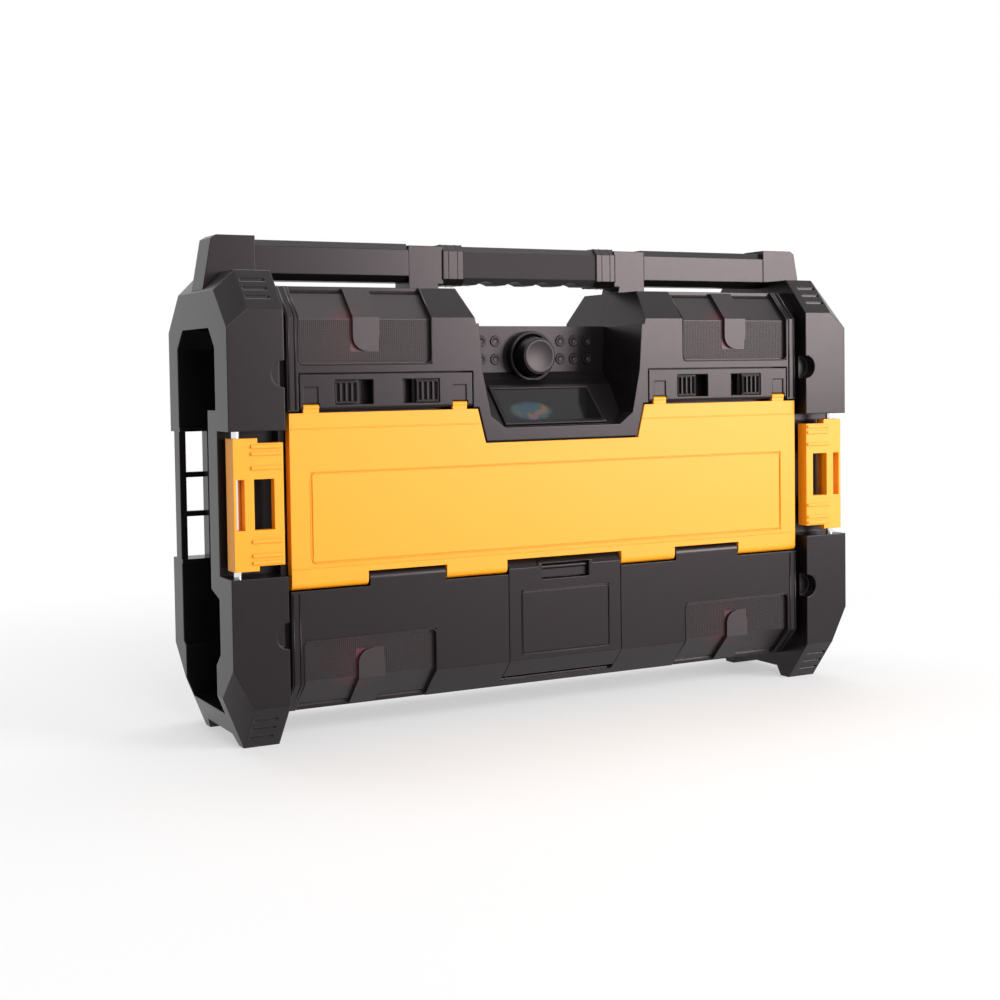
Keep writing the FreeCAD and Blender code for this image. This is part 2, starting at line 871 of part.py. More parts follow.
# Speaker grilles and drivers
def grille(upper):
    """A grille plate that laps behind the shell, with its raised rounded tab."""
    crease = dim.upper_crease if upper else dim.lower_crease
    end = dim.body_top - wall if upper else dim.body_bottom + wall
    edge = dim.upper_window_z if upper else dim.lower_window_z
    sign = 1 if upper else -1
    near = face + wall
    far = near + dim.grille_thick
    run = slope_front + wall * BEND
    lap = dim.grille_lap * sign
    plate = prism("YZ", [
        (near, edge - lap),
        (far, edge - lap),
        (far, crease - sign * (wall + dim.grille_thick) * BEND),
        (run + 3.3, end),
        (run, end),
        (near, crease - sign * wall * BEND),
    ], (dim.grille_inner - dim.grille_lap, dim.grille_outer + dim.grille_lap))
    low = edge + dim.bump_reach * sign
    raised = prism("YZ", [
        (face + 0.4, low),
        (far - 1, low),
        (far - 1, crease - sign * wall * BEND),
        (slope_front + 1.4, end),
        (slope_front - 0.6, end + sign * (wall - 1.2)),
        (face + 0.4, crease),
    ], (dim.speaker_x - dim.bump_half, dim.speaker_x + dim.bump_half))
    tip_z = low + dim.bump_half * sign
    tip = cylinder("Y", (dim.speaker_x, front, tip_z), dim.bump_half, dim.slope_run * 3)
    rest = (tip_z, dim.body_top + PAST) if upper else (dim.body_bottom - PAST, tip_z)
    stem = box((dim.speaker_x - dim.bump_half, dim.speaker_x + dim.bump_half),
               (front, front + dim.slope_run * 3), rest)
    return fuse(plate, common(raised, fuse(tip, stem)))


def driver(centre):
    """A loudspeaker: flange, basket, cone opening to the front and magnet."""
    start_y = depth(dim.baffle_depth + wall)
    at = lambda back_by: (dim.speaker_x, start_y + back_by, centre)
    flange = cylinder("Y", at(0), dim.speaker_r, 2.5)
    basket = cone("Y", at(2.5), dim.speaker_r - 1, dim.speaker_r * 0.55, dim.speaker_depth * 0.5)
    magnet = cylinder("Y", at(2.5 + dim.speaker_depth * 0.5), dim.speaker_r * 0.62,
                      dim.speaker_depth * 0.4)
    hollow = cone("Y", at(-0.5), dim.speaker_r - 2.5, 5, dim.speaker_depth * 0.45)
    dome = cone("Y", at(dim.speaker_depth * 0.25), 3.5, 6, dim.speaker_depth * 0.25)
    return fuse(cut(fuse(flange, basket, magnet), hollow), dome)


for level, centre, is_upper in (
    ("upper", dim.upper_speaker_z, True),
    ("lower", dim.lower_speaker_z, False),
):
    keep_pair(grille(is_upper), f"speaker_grille_{level}")
    keep_pair(driver(centre), f"speaker_driver_{level}")

# Storage door with its hinge pins
door_plate = prism("XZ", door_outline(as_size(0), dim.door_low), (face, face + dim.door_plate))
rim_y = (face + dim.door_plate - 0.5, face + dim.door_rim_depth)
RIM = 3.0
side_rim = box((dim.door_half - RIM, dim.door_half), rim_y, (dim.door_low, dim.door_top))
top_rim = box((dim.notch_half_top, dim.door_half), rim_y, (dim.door_top - RIM, dim.door_top))
mid_rim = box((-dim.notch_half_low, dim.notch_half_low), rim_y,
              (dim.notch_low - RIM, dim.notch_low))
moving_foot = (
    (face, face + dim.door_plate),
    (dim.hinge_height, dim.door_low + 2),
)
door_knuckles = [knuckle(span, moving_foot) for span in moving_spans]
lug_starts = (dim.lug_inner_lo, dim.lug_outer_lo)
bar_y = face + dim.bar_thick / 2
bar_r = dim.bar_thick / 2
lugs = []
for start in lug_starts:
    lugs.append(cylinder("X", (start, bar_y, dim.bar_hinge), bar_r, dim.lug_width))
    lugs.append(box((start, start + dim.lug_width), (bar_y - 1.5, bar_y + 1.5),
                    (dim.door_top - 4, dim.bar_hinge)))
bar_pin_start = (dim.lug_inner_lo, bar_y, dim.bar_hinge)
bar_pin_length = dim.lug_outer_lo + dim.lug_width - dim.lug_inner_lo
bar_pin_hole = cylinder("X", bar_pin_start, dim.bar_pin_r, bar_pin_length)
PANEL_LOW = 131.5
PANEL_TOP = 198.0
PANEL_RISE = 0.8
groove_frame = cut(
    box((-dim.door_panel_half, dim.door_panel_half), (face - 1, face + PANEL_RISE),
        (PANEL_LOW, PANEL_TOP)),
    box((-dim.door_panel_half + 1.6, dim.door_panel_half - 1.6), (face - 2, face + PANEL_RISE + 1),
        (PANEL_LOW + 1.6, PANEL_TOP - 1.6)),
)
loose_bore = cylinder("X", hinge_pin_start, dim.hinge_pin_r + dim.running_fit, hinge_pin_length)
half_pieces = [side_rim, top_rim] + door_knuckles + lugs
door_solid = fuse(door_plate, mid_rim, *half_pieces, *[mirror(item) for item in half_pieces])
keep(cut(door_solid, groove_frame, loose_bore, mirror(loose_bore), bar_pin_hole,
         mirror(bar_pin_hole)), "storage_door")
storage_pin = cylinder("X", hinge_pin_start, dim.hinge_pin_r, hinge_pin_length)
keep(group(storage_pin, mirror(storage_pin)), "storage_hinge_pins")
bar_pin = cylinder("X", bar_pin_start, dim.bar_pin_r, bar_pin_length)
keep(group(bar_pin, mirror(bar_pin)), "latch_bar_pins")

# Storage compartment and its seal
flange_y = (depth(dim.pocket_depth - 1.5), depth(dim.pocket_depth))
tray_outer = box((-dim.tray_half, dim.tray_half), (flange_y[0], depth(dim.tray_back)),
                 (dim.tray_low, dim.tray_top))
tray_lip = box((-dim.tray_half - dim.tray_flange, dim.tray_half + dim.tray_flange), flange_y,
               (dim.tray_low - dim.tray_flange, dim.tray_top))
tray_hollow = box(
    (-dim.tray_half + dim.tray_wall, dim.tray_half - dim.tray_wall),
    (flange_y[0] - 1, depth(dim.tray_back - dim.tray_wall)),
    (dim.tray_low + dim.tray_wall, dim.tray_top - dim.tray_wall),
)
keep(cut(fuse(tray_outer, tray_lip), tray_hollow), "storage_tray")
gasket_y = (flange_y[0] - 1.6, flange_y[0])
gasket_outer = box((-dim.tray_half, dim.tray_half), gasket_y, (dim.tray_low, dim.tray_top - 3))
gasket_inner = box(
    (-dim.tray_half + dim.tray_wall, dim.tray_half - dim.tray_wall),
    (gasket_y[0] - 1, gasket_y[1] + 1),
    (dim.tray_low + dim.tray_wall, dim.tray_top - 3 - dim.gasket_width),
)
keep(cut(gasket_outer, gasket_inner), "storage_gasket")

# Latch bars and their sliders
bar_back = face + dim.bar_thick
bar_x = (dim.bar_inner, dim.bar_outer)
bar_plate = box(bar_x, (face, bar_back), (dim.bar_hinge, dim.bar_top))
bar_round = cylinder("X", (bar_x[0], bar_y, dim.bar_hinge), bar_r, bar_x[1] - bar_x[0])
bar_cuts = []
for start in lug_starts:
    clear = (start - dim.knuckle_gap, start + dim.lug_width + dim.knuckle_gap)
    bar_cuts.append(box(clear, (face - 1, bar_back + 1),
                        (dim.bar_hinge - bar_r - 1, dim.bar_hinge + bar_r + 0.6)))
    bar_cuts.append(box((start + 0.4, start + dim.lug_width - 0.4), (face - 1, face + 1),
                        (dim.bar_hinge, dim.bar_hinge + 14.5)))
window_starts = {"inner": dim.window_inner_lo, "outer": dim.window_outer_lo}
for start in window_starts.values():
    bar_cuts.append(box((start, start + dim.window_length), (face - 1, bar_back + 1),
                        (dim.window_low, dim.window_top)))
bar_cuts.append(cylinder("X", (bar_x[0] - 1, bar_y, dim.bar_hinge),
                         dim.bar_pin_r + dim.running_fit, bar_x[1] - bar_x[0] + 2))
keep_pair(cut(fuse(bar_plate, bar_round), *bar_cuts), "latch_bar")

THUMB_RIBS = 3
for place, start in window_starts.items():
    end = start + dim.window_length
    pad_lo = start + dim.slide_gap if place == "inner" else end - dim.slide_gap - dim.pad_length
    pad_x = (pad_lo, pad_lo + dim.pad_length)
    pad_z = (dim.window_low + dim.slide_gap, dim.window_top - dim.slide_gap)
    pad = box(pad_x, (face + 1.2, bar_back + 0.6), pad_z)
    plate = box((pad_x[0] - 2, pad_x[1] + 2), (bar_back + 0.35, bar_back + 2.6),
                (pad_z[0], pad_z[1] + 3))
    thumb_z = (pad_z[0] + 2, pad_z[1] - 2)
    thumb_cut = box((pad_x[0] + 1.6, pad_x[1] - 1.6), (face, face + 3), thumb_z)
    thumb = []
    for index in range(THUMB_RIBS):
        rib_x = pad_x[0] + 4.2 + 4.4 * index
        thumb.append(box((rib_x, rib_x + 1.4), (face + 0.6, face + 4), thumb_z))
    keep_pair(fuse(cut(fuse(pad, plate), thumb_cut), *thumb), f"latch_slider_{place}")

# Battery door, its catch and its hinge pin
battery_y = depth(dim.battery_hinge_y)
slope_end = (battery_y - 2.5, dim.lower_crease - (battery_y - 2.5 - face) * lower_rise)
battery_profile = [
    (face, dim.lower_crease),
    (face, dim.battery_top - 6.5),
    (face + 4.4, dim.battery_top),
    (face + 7, dim.battery_top),
    (face + 7, dim.battery_top - 4),
    (face + dim.door_plate, dim.battery_top - 7),
    (face + dim.door_plate, dim.lower_crease + dim.door_plate * BEND),
    (battery_y, dim.battery_hinge_z),
    slope_end,
]
battery_skin = prism("YZ", battery_profile, (-dim.battery_half, dim.battery_half))
battery_round = cylinder("X", (-dim.battery_half, battery_y, dim.battery_hinge_z),
                         dim.battery_knuckle_r, dim.battery_half * 2)
catch_block = box((-dim.catch_half - 3, dim.catch_half + 3), (face, face + 9.4),
                  (dim.catch_low - 2.5, dim.catch_top + 2.5))
catch_bevel = prism("YZ", [
    (face - 1, dim.battery_top - 5),
    (face - 1, dim.battery_top + 3),
    (face + 6.4, dim.battery_top + 3),
], (-dim.battery_half, dim.battery_half))
catch_recess = box((-dim.catch_half, dim.catch_half), (face - 1, face + 7.4),
                   (dim.catch_low, dim.catch_top))
panel_line = cut(
    box((-dim.battery_panel_half, dim.battery_panel_half), (face - 1, face + 0.8),
        (dim.lower_crease + 4, 99)),
    box((-dim.battery_panel_half + 1.2, dim.battery_panel_half - 1.2), (face - 2, face + 2),
        (dim.lower_crease + 5.2, 97.8)),
)
battery_bore = cylinder("X", battery_pin_start, dim.battery_pin_r + dim.running_fit,
                        battery_pin_length)
catch_y = face + 4.7
catch_z = dim.catch_top - 3.5
CATCH_R = 2.0
CATCH_PIN = 0.8
catch_axle = cylinder("X", (-dim.catch_half - 2, catch_y, catch_z), CATCH_PIN + 0.05,
                      dim.catch_half * 2 + 4)
keep(cut(fuse(battery_skin, battery_round, catch_block), catch_bevel, catch_recess, panel_line,
         battery_bore, catch_axle), "battery_door")
keep(cylinder("X", battery_pin_start, dim.battery_pin_r, battery_pin_length), "battery_hinge_pin")
catch_bar = cylinder("X", (-dim.catch_half + 0.4, catch_y, catch_z), CATCH_R,
                     dim.catch_half * 2 - 0.8)
catch_tab = box((-dim.catch_half + 0.4, dim.catch_half - 0.4), (catch_y - 1, catch_y + 1),
                (dim.catch_low + 1, catch_z))
catch_shaft = cylinder("X", (-dim.catch_half - 1.7, catch_y, catch_z), CATCH_PIN,
                       dim.catch_half * 2 + 3.4)
keep(fuse(catch_bar, catch_tab, catch_shaft), "battery_door_latch")

# Battery bay and its contacts
bay_front = depth(battery_clear + 0.5)
bay_top = pocket_bottom - wall
bay_outer = box((-dim.bay_half, dim.bay_half), (bay_front - 6, depth(dim.bay_back)),
                (dim.bay_low + 8, bay_top))
bay_hollow = box((-dim.bay_half + dim.tray_wall, dim.bay_half - dim.tray_wall),
                 (bay_front - 8, depth(dim.bay_back - dim.tray_wall)),
                 (dim.bay_low + 8 + dim.tray_wall, bay_top - dim.tray_wall))
bay_leg = box((-dim.bay_half, dim.bay_half), (split + 5, split + 9),
              (dim.body_bottom + wall, dim.bay_low + 9))
keep(cut(fuse(bay_outer, bay_leg), bay_hollow), "battery_bay")
terminal_y = depth(dim.bay_back - dim.tray_wall)
terminal_base = box((-22, 22), (terminal_y - 6, terminal_y), (70, 96))
blades = [
    box((x - 0.6, x + 0.6), (terminal_y - 16, terminal_y - 5), (76, 90)) for x in (-12, 0, 12)
]
keep(fuse(terminal_base, *blades), "battery_terminal_block")

# Control panel, display, board, encoder, knob and buttons
panel_face = depth(dim.recess_depth - dim.panel_gap - dim.panel_thick)
panel_back = panel_face + dim.panel_thick
display_start = (depth(dim.display_low_y), dim.recess_floor)
display_end = (depth(dim.display_top_y), dim.display_top_z)
console = prism("YZ", [
    (display_start[0] - 6, display_start[1]),
    display_start,
    display_end,
    (depth(dim.display_top_y + 8), dim.display_top_z + 5),
    (panel_face, dim.panel_low),
    (panel_face, dim.saddle_top - 0.3),
    (panel_back, dim.saddle_top - 0.3),
    (panel_back, dim.panel_low - 1.6),
    (depth(dim.display_top_y + 9.5), dim.display_top_z + 2),
    (depth(dim.display_top_y + 2), dim.display_top_z - 3),
    (display_start[0] + 4.3, display_start[1]),
], (-dim.saddle_half, dim.saddle_half))
recess_fill = prism("XZ", recess_outline(as_size(-0.15)), (front, panel_back + 1))
ring = cylinder("Y", (0, panel_face - 7.5, dim.knob_z), dim.knob_ring_r, 8)
ring_bore = cylinder("Y", (0, panel_face - 8.5, dim.knob_z), dim.knob_skirt_r + 0.6, 8.5)
shaft_bore = cylinder("Y", (0, panel_face - 1, dim.knob_z), dim.knob_shaft_r + 0.4,
                      dim.panel_thick + 2)
ROWS = {"upper": dim.button_upper_z, "lower": dim.button_lower_z}
BUTTONS = {}
for level, height in ROWS.items():
    for side_name, side in (("left", -1), ("right", 1)):
        for number in range(3):
            x = (dim.button_first + dim.button_pitch * number) * side
            BUTTONS[f"button_{level}_{side_name}_{number + 1}"] = (x, height)
button_holes = [
    cylinder("Y", (x, panel_face - 1, z), dim.button_r + 0.3, dim.panel_thick + 2)
    for x, z in BUTTONS.values()
]
keep(cut(fuse(common(console, recess_fill), ring), ring_bore, shaft_bore, *button_holes),
     "control_panel")
for name, (x, z) in BUTTONS.items():
    cap = cylinder("Y", (x, panel_face - dim.button_proud, z), dim.button_r,
                   dim.panel_thick + 4 + dim.button_proud)
    dish = doc.addObject("Part::Sphere", "Dish")
    DISH_R = 9.0
    bind(dish, "Radius", DISH_R)
    for letter, value in zip("xyz", (x, panel_face - dim.button_proud - DISH_R + 0.5, z)):
        bind(dish, f"Placement.Base.{letter}", value)
    keep(cut(cap, dish), name)


def on_display(share, lift):
    """A point on the sloping display face, lifted off it."""
    y, z = between(display_start, display_end, share)
    run_y = display_end[0] - display_start[0]
    run_z = display_end[1] - display_start[1]
    whole = (run_y + run_z) * 0.7071
    return y - run_z / whole * lift, z + run_y / whole * lift


def display_slab(shares, lifts, half):
    corners = [(shares[0], lifts[0]), (shares[1], lifts[0]), (shares[1], lifts[1]),
               (shares[0], lifts[1])]
    return prism("YZ", [on_display(share, lift) for share, lift in corners], (-half, half))


keep(display_slab((0.12, 0.88), (as_size(0), dim.lens_thick), dim.display_half), "display_lens")
keep(display_slab((0.28, 0.8), (as_size(-7.6), as_size(-3.8)), dim.display_half - 3),
     "display_module")

board_y = (panel_back + 8, panel_back + 9.6)
board = box((-dim.board_half, dim.board_half), board_y, (dim.panel_low - 34, dim.saddle_top - 6))
chip_low = dim.panel_low - 28.3
chips = [
    box((-30, -12), (board_y[1], board_y[1] + 2), (chip_low + 10, chip_low + 28)),
    box((14, 40), (board_y[1], board_y[1] + 4), (chip_low + 4, chip_low + 18)),
    box((-50, -38), (board_y[1], board_y[1] + 9), (chip_low, chip_low + 16)),
]
supports = [
    box((x - 2.5, x + 2.5), (panel_back, board_y[0]), (dim.panel_low - 1, dim.panel_low + 3))
    for x in (-dim.board_support, dim.board_support)
]
encoder_hole = cylinder("Y", (0, board_y[0] - 1, dim.knob_z), 2, 5)
keep(cut(fuse(board, *chips, *supports), encoder_hole), "main_board")
encoder_body = cylinder("Y", (0, panel_back, dim.knob_z), dim.encoder_r, board_y[0] - panel_back)
encoder_bore = cylinder("Y", (0, panel_back - 1, dim.knob_z),
                        dim.knob_shaft_r + dim.running_fit, 7.5)
keep(cut(encoder_body, encoder_bore), "rotary_encoder")
knob_start = panel_face - dim.knob_reach
knob_cone = cone("Y", (0, knob_start + 1.2, dim.knob_z), dim.knob_r, dim.knob_skirt_r,
                 dim.knob_reach - 2.2)
knob_tip = cone("Y", (0, knob_start, dim.knob_z), dim.knob_r - 1.2, dim.knob_r, 1.2)
knob_shaft = cylinder("Y", (0, panel_face - 2, dim.knob_z), dim.knob_shaft_r,
                      dim.panel_thick + 7)
knob_dish = doc.addObject("Part::Sphere", "Dish")
KNOB_DISH_R = 70.0
bind(knob_dish, "Radius", KNOB_DISH_R)
bind(knob_dish, "Placement.Base.y", knob_start - KNOB_DISH_R + 1.0)
bind(knob_dish, "Placement.Base.z", dim.knob_z)
keep(cut(fuse(knob_cone, knob_tip, knob_shaft), knob_dish), "volume_knob")


# Carrying handle
def handle_section(grow, low, top):
    """A box section with bevelled edges, centred in the depth."""
    reach = dim.handle_depth / 2 + grow
    bevel = dim.handle_bevel
    return [
        (-reach + bevel, low), (reach - bevel, low), (reach, low + bevel), (reach, top - bevel),
        (reach - bevel, top), (-reach + bevel, top), (-reach, top - bevel), (-reach, low + bevel),
    ]


core_z = (dim.handle_low + dim.handle_top) / 2
side_tube = prism("YZ", handle_section(as_size(0), dim.handle_low, dim.handle_top),
                  (dim.post_outer, dim.body_half))
core_start = (-dim.post_outer, 0, core_z)
core = cylinder("X", core_start, dim.handle_core_r, dim.post_outer * 2)
keep(fuse(side_tube, mirror(side_tube), core), "handle_tube")
core_hole = cylinder("X", core_start, dim.handle_core_r, dim.post_outer * 2)
grip = prism("YZ", handle_section(as_size(0), dim.handle_low - 1, dim.handle_top - 1),
             (-dim.grip_half, dim.grip_half))
FINGER_R = 15.0
FINGER_SINK = 2.6
FINGER_PITCH = 26.0
fingers = []
for number in range(4):
    x = (number - 1.5) * FINGER_PITCH
    finger_z = dim.handle_low - 1 - FINGER_R + FINGER_SINK
    fingers.append(cylinder("Y", (x, -dim.handle_depth, finger_z), FINGER_R, dim.handle_depth * 2))
keep(cut(grip, core_hole, *fingers), "handle_grip")
collar = cut(
    prism("YZ", handle_section(as_size(1), dim.handle_low - 2, dim.handle_top),
          (dim.grip_half, dim.collar_outer)),
    core_hole,
)
keep(group(collar, mirror(collar)), "handle_collars")
post_reach = dim.handle_depth / 2
post = cut(
    box((dim.collar_outer, dim.post_outer), (-post_reach, post_reach),
        (dim.body_top, dim.handle_top - 1.5)),
    core_hole,
    prism("XZ", saddle_outline(as_size(0)), through_y),
)
keep_pair(post, "handle_post")
cap_reach = dim.handle_depth / 2 + 0.5
cap = prism("XZ", [
    (dim.body_half, dim.frame_top),
    (dim.frame_bevel_x, dim.frame_top),
    (dim.cap_low_x, dim.frame_edge_top + (half_width - dim.cap_low_x)
     * ((dim.frame_top - dim.frame_edge_top) / (half_width - dim.frame_bevel_x))),
    (dim.cap_top_x, dim.handle_top),
    (dim.cap_top_x - 4, dim.handle_top + dim.cap_rise),
    (dim.body_half, dim.handle_top + dim.cap_rise),
], (-cap_reach, cap_reach))
keep_pair(cap, "handle_end_cap")

doc.recompute()
failed = [item.Label for item in doc.Objects if {"Invalid", "Error"} & set(item.State)]
for item in sub_parts:
    if item.Shape.isNull() or not item.Shape.isValid() or not item.Shape.Solids:
        failed.append(item.Label)
if failed:
    raise RuntimeError("These objects failed: " + ", ".join(sorted(set(failed))))

os.makedirs("parts", exist_ok=True)
for item in sub_parts:
    item.Shape.exportStep(f"parts/{item.Label}.step")
    print(item.Label, len(item.Shape.Solids), "solids", round(item.Shape.Volume), "mm3")
print(len(sub_parts), "sub-parts")
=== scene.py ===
import json
import math

import bmesh
import bpy
from mathutils import Matrix, Vector


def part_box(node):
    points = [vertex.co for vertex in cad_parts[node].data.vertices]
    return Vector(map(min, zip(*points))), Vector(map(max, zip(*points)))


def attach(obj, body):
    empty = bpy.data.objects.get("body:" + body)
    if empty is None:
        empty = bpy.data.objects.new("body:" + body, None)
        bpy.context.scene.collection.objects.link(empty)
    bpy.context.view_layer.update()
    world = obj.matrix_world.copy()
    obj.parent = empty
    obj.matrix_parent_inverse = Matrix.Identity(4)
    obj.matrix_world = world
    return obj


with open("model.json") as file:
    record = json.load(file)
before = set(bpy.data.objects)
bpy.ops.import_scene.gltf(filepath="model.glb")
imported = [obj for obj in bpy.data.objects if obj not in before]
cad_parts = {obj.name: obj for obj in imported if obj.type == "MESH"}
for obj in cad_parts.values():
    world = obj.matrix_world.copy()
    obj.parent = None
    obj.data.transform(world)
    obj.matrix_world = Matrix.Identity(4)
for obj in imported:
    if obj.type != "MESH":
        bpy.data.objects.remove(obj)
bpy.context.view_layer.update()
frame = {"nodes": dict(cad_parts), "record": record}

# Metres throughout. The radio stands on z = 0 with its front towards -Y.
MM = 0.001
FRONT = -71 * MM
FACE = FRONT + 8.6 * MM
SIDES = (("left", -1), ("right", 1))

# Colours in linear light
BLACK = (0.0060, 0.0050, 0.0055)
BLACK_EDGE = (0.05, 0.044, 0.046)
YELLOW = (0.88, 0.33, 0.007)
YELLOW_EDGE = (1.0, 0.54, 0.07)
WARM_SHINE = (1.0, 0.87, 0.91)
PLAIN_SHINE = (1.0, 1.0, 1.0)


# Node helpers
def new_material(name):
    material = bpy.data.materials.new(name)
    material.use_nodes = True
    tree = material.node_tree
    shader = tree.nodes["Principled BSDF"]
    return material, tree, shader


def add(tree, kind, **values):
    """A node with its inputs set by name."""
    node = tree.nodes.new(kind)
    for key, value in values.items():
        node.inputs[key.replace("_", " ")].default_value = value
    return node


def object_coords(tree):
    return tree.nodes.new("ShaderNodeTexCoord").outputs["Object"]


def noise(tree, coords, **values):
    """The strength of a noise texture at a place on the object."""
    node = add(tree, "ShaderNodeTexNoise", **values)
    tree.links.new(coords, node.inputs["Vector"])
    return node.outputs["Fac"]


def combine(tree, operation, first, second):
    """Two values joined by an operation."""
    node = tree.nodes.new("ShaderNodeMath")
    node.operation = operation
    tree.links.new(first, node.inputs[0])
    tree.links.new(second, node.inputs[1])
    return node.outputs["Value"]


def remap(tree, value, start=(0.0, 1.0), end=(0.0, 1.0)):
    """A value moved from one span to another, and held at its ends."""
    node = add(tree, "ShaderNodeMapRange", From_Min=start[0], From_Max=start[1],
               To_Min=end[0], To_Max=end[1])
    tree.links.new(value, node.inputs["Value"])
    return node.outputs["Result"]


def distance(tree, place, centre):
    node = tree.nodes.new("ShaderNodeVectorMath")
    node.operation = "DISTANCE"
    node.inputs[1].default_value = centre
    tree.links.new(place, node.inputs[0])
    return node.outputs["Value"]


def color_mix(tree, factor, first=None, second=None):
    """A blend of two colours, each a constant or a socket."""
    node = tree.nodes.new("ShaderNodeMix")
    node.data_type = "RGBA"
    tree.links.new(factor, node.inputs["Factor"])
    for slot, color in (("A", first), ("B", second)):
        if isinstance(color, tuple):
            node.inputs[slot].default_value = color[:3] + (1,)
        else:
            tree.links.new(color, node.inputs[slot])
    return node.outputs["Result"]


def bump_from(tree, height, strength, depth):
    node = add(tree, "ShaderNodeBump", Strength=strength, Distance=depth)
    tree.links.new(height, node.inputs["Height"])
    return node


# Materials
GRAIN_DEPTH = 0.06 * MM
FLAT_DOT = 0.97
SHARP_DOT = 0.72


def rubbed_edges(tree, round_edge):
    """A rounded normal, and a mask that is one where it turns most from the flat one."""
    bevel = add(tree, "ShaderNodeBevel", Radius=round_edge * MM)
    bevel.samples = 6
    geometry = tree.nodes.new("ShaderNodeNewGeometry")
    dot = tree.nodes.new("ShaderNodeVectorMath")
    dot.operation = "DOT_PRODUCT"
    tree.links.new(bevel.outputs["Normal"], dot.inputs[0])
    tree.links.new(geometry.outputs["Normal"], dot.inputs[1])
    return bevel.outputs["Normal"], remap(tree, dot.outputs["Value"], (FLAT_DOT, SHARP_DOT))


def plastic(name, color, edge, roughness, grain=0.35, scale=1400.0, round_edge=0.9, mottle=0.12,
            sheen=0.0, tint=WARM_SHINE, gloss=0.3):
    """Moulded plastic: fine grain, soft blotches, rounded edges that catch light and are rubbed paler."""
    material, tree, shader = new_material(name)
    link = tree.links.new
    coords = object_coords(tree)
    fine = noise(tree, coords, Scale=scale, Detail=2.0, Roughness=0.6)
    broad = noise(tree, coords, Scale=22.0, Detail=4.0, Roughness=0.55)
    scuff = noise(tree, coords, Scale=160.0, Detail=3.0, Roughness=0.7)
    normal, edge_mask = rubbed_edges(tree, round_edge)
    dark = tuple(c * (1 - mottle) for c in color)
    light = tuple(min(1.0, c * (1 + mottle)) for c in color)
    blotch = color_mix(tree, broad, dark, light)
    worn = combine(tree, "MULTIPLY", edge_mask, scuff)
    link(color_mix(tree, worn, blotch, edge), shader.inputs["Base Color"])
    link(remap(tree, scuff, end=(roughness - 0.02, roughness + 0.03)), shader.inputs["Roughness"])
    bump = bump_from(tree, fine, grain, GRAIN_DEPTH)
    link(normal, bump.inputs["Normal"])
    link(bump.outputs["Normal"], shader.inputs["Normal"])
    shader.inputs["Sheen Weight"].default_value = sheen
    shader.inputs["Specular Tint"].default_value = tint + (1,)
    shader.inputs["Specular IOR Level"].default_value = gloss
    return material


def metal(name, color, roughness, streak=0.05):
    material, tree, shader = new_material(name)
    streaks = noise(tree, object_coords(tree), Scale=700.0, Detail=2.0, Roughness=0.5)
    spread = remap(tree, streaks, end=(max(0.02, roughness - streak), roughness + streak))
    tree.links.new(spread, shader.inputs["Roughness"])
    shader.inputs["Base Color"].default_value = color + (1,)
    shader.inputs["Metallic"].default_value = 1.0
    return material


# The cones are red in their middle, and seen a little to the left of it through the grille
CONE_X = 166 * MM
CONE_SHIFT = 13 * MM
CONE_HEIGHTS = (296 * MM, 58 * MM)
CONE_REACH = 24 * MM
CONE_CORE = 8 * MM
CONE_START_Y = FACE + 2.4 * MM
CLOTH_BLACK = (0.006, 0.005, 0.0055)
CONE_RED = (0.10, 0.006, 0.014)
CLOTH_DEPTH = 0.05 * MM


def speaker_backing():
    """What shows through the perforations: black cloth with a red cone behind each grille's middle."""
    material, tree, shader = new_material("grille_backing")
    link = tree.links.new
    coords = object_coords(tree)
    split = tree.nodes.new("ShaderNodeSeparateXYZ")
    link(coords, split.inputs["Vector"])
    place = tree.nodes.new("ShaderNodeCombineXYZ")
    link(split.outputs["X"], place.inputs["X"])
    link(split.outputs["Z"], place.inputs["Z"])
    cones = []
    for side in (-1, 1):
        for cone_z in CONE_HEIGHTS:
            far = distance(tree, place.outputs["Vector"], (side * CONE_X - CONE_SHIFT, 0, cone_z))
            cones.append(remap(tree, far, (CONE_REACH, CONE_CORE)))
    nearest = cones[0]
    for cone in cones[1:]:
        nearest = combine(tree, "MAXIMUM", nearest, cone)
    behind = tree.nodes.new("ShaderNodeMath")
    behind.operation = "GREATER_THAN"
    behind.inputs[1].default_value = CONE_START_Y
    link(split.outputs["Y"], behind.inputs[0])
    glow = combine(tree, "MULTIPLY", nearest, behind.outputs["Value"])
    cloth = noise(tree, coords, Scale=900.0, Detail=2.0)
    speckle = combine(tree, "MULTIPLY", glow, cloth)
    link(color_mix(tree, speckle, CLOTH_BLACK, CONE_RED), shader.inputs["Base Color"])
    link(bump_from(tree, cloth, 0.3, CLOTH_DEPTH).outputs["Normal"], shader.inputs["Normal"])
    shader.inputs["Roughness"].default_value = 0.42
    shader.inputs["Specular Tint"].default_value = WARM_SHINE + (1,)
    return material


# The painted reflection on the display is an oval patch of soft colours, made by stretching its distance
# along Z
SCREEN_BLACK = (0.004, 0.0035, 0.004)
# Colours of the painted reflection on the display, with its two end colours below
REFLECTION_COLORS = (
    (0.40, (0.02, 0.045, 0.07, 1)),
    (0.47, (0.03, 0.055, 0.045, 1)),
    (0.54, (0.12, 0.06, 0.035, 1)),
    (0.62, (0.07, 0.055, 0.10, 1)),
)
REFLECTION_ENDS = ((0.30, (0.008, 0.012, 0.02, 1)), (0.75, (0.22, 0.22, 0.22, 1)))
PATCH_FLATTEN = 2.6
PATCH_X = -18 * MM
PATCH_Z = 237.5 * MM
PATCH_EDGE = (20 * MM, 15 * MM)


